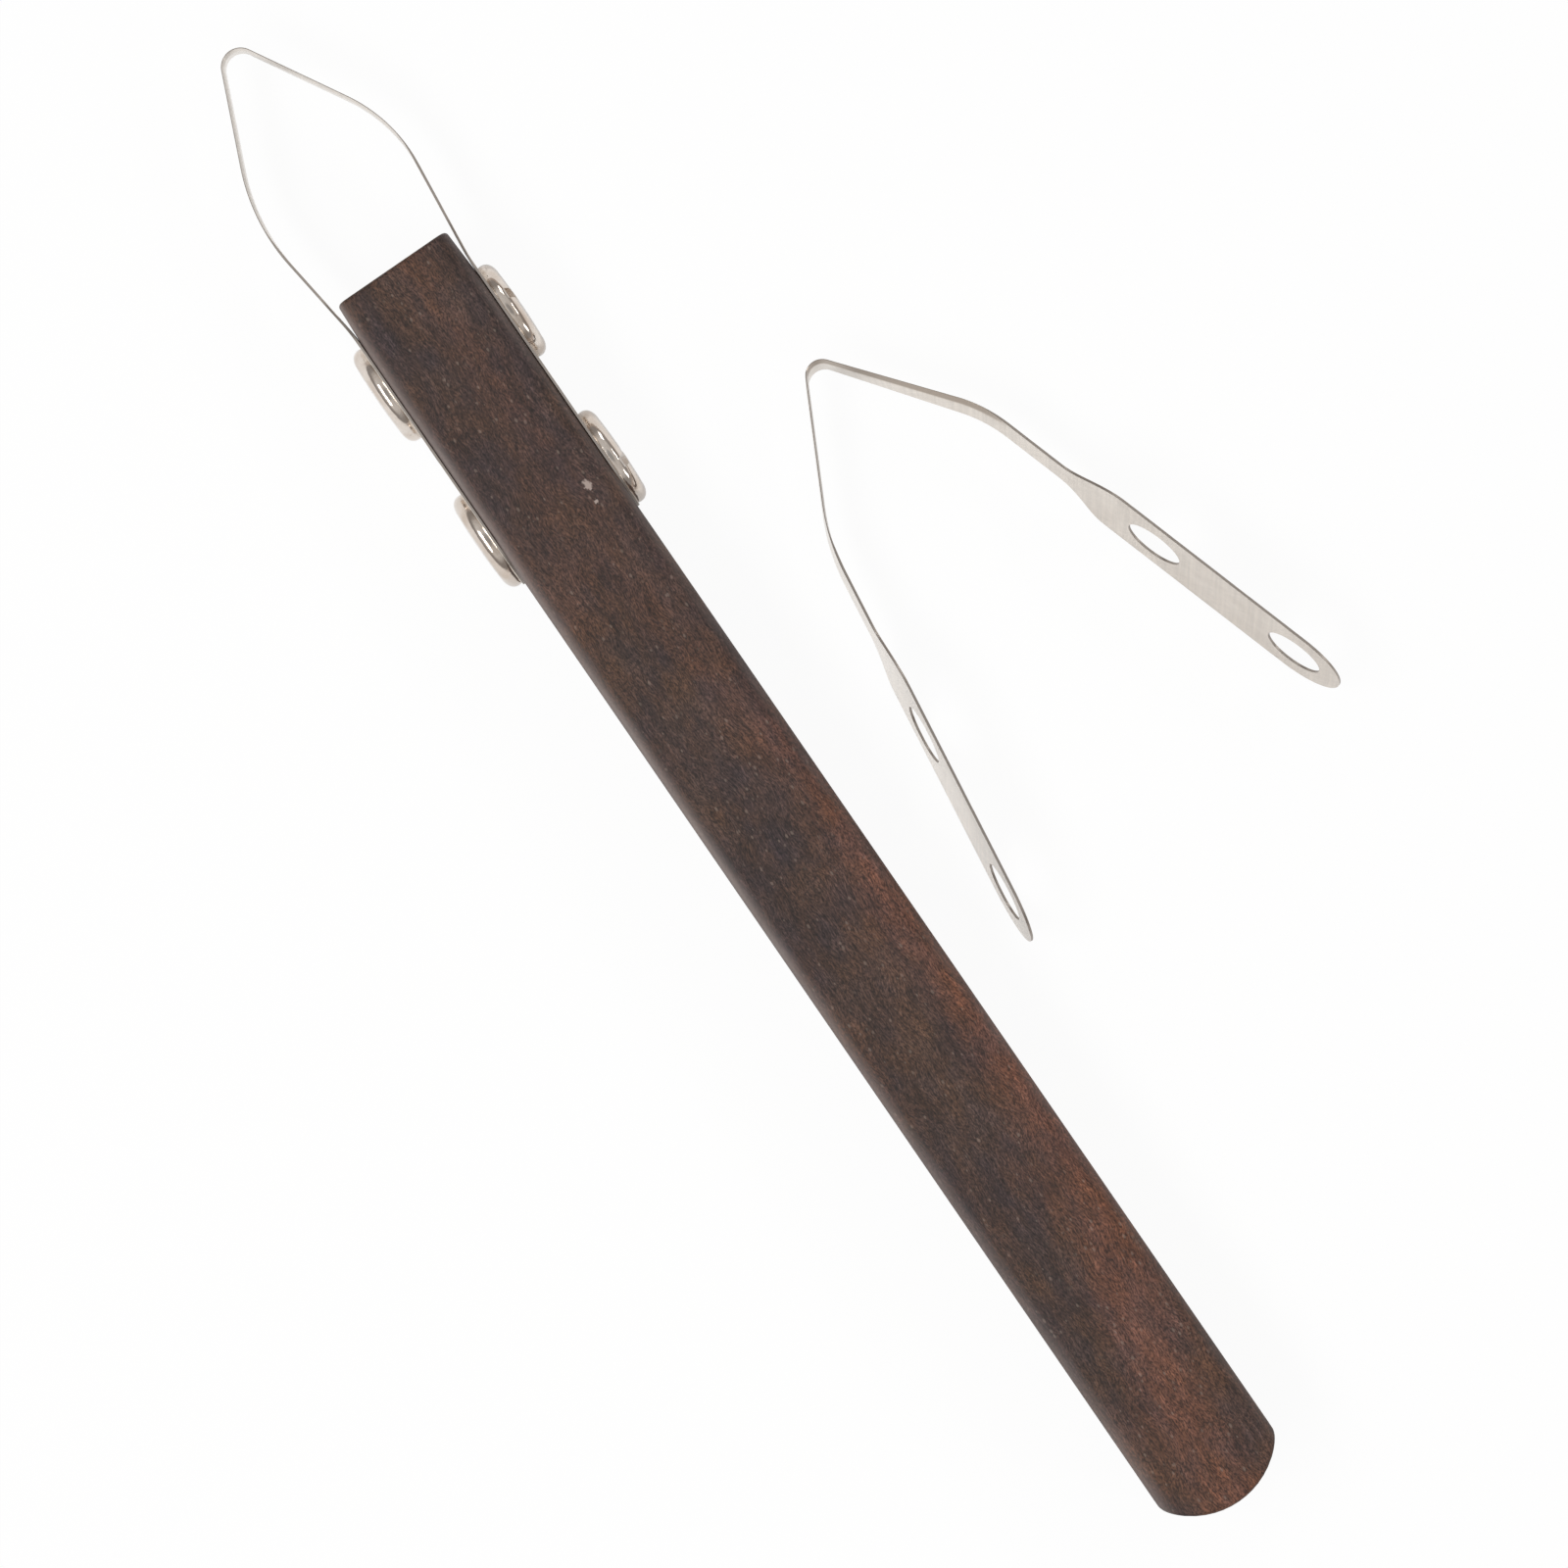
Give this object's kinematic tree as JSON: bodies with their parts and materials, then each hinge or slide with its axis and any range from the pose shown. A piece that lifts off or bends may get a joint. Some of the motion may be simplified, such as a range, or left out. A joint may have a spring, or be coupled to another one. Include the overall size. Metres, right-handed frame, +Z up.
{
  "type": "pottery trimming loop tool",
  "caption": "Pottery trimming tool: a bent ribbon blade screwed to the side flats of a wooden handle with binding posts, and a loose spare blade beside it.",
  "frame": {"origin": "middle of the handle's underside, which rests on the table", "axes": "+X along the handle from the rounded butt to the cutting loop, +Y to the side of the plain post heads, +Z up"},
  "size_m": [0.1632, 0.059, 0.012],
  "materials": {
    "handle_wood": "dark brown hardwood, sanded and oiled, matte",
    "blade_steel": "thin stainless spring strip, fine brushed scratches",
    "nickel": "polished nickel plate with a warm tint"
  },
  "bodies": {
    "tool": {"handle": "handle_wood", "blade": "blade_steel"},
    "post_front": {"post_front": "nickel"},
    "post_rear": {"post_rear": "nickel"},
    "screw_front": {"screw_front": "nickel"},
    "screw_rear": {"screw_rear": "nickel"},
    "spare": {"spare_blade": "blade_steel"}
  },
  "joints": [
    {"name": "post_front_out", "type": "slide", "parent": "tool", "child": "post_front", "axis": [0, 1, 0], "range_m": [0, 0.016]},
    {"name": "post_rear_out", "type": "slide", "parent": "tool", "child": "post_rear", "axis": [0, 1, 0], "range_m": [0, 0.016]},
    {"name": "screw_front_out", "type": "slide", "parent": "tool", "child": "screw_front", "axis": [0, -1, 0], "range_m": [0, 0.012]},
    {"name": "screw_rear_out", "type": "slide", "parent": "tool", "child": "screw_rear", "axis": [0, -1, 0], "range_m": [0, 0.012]},
    {"name": "spare_lift", "type": "slide", "parent": "tool", "child": "spare", "axis": [0, 0, 1], "range_m": [0, 0.04]}
  ]
}
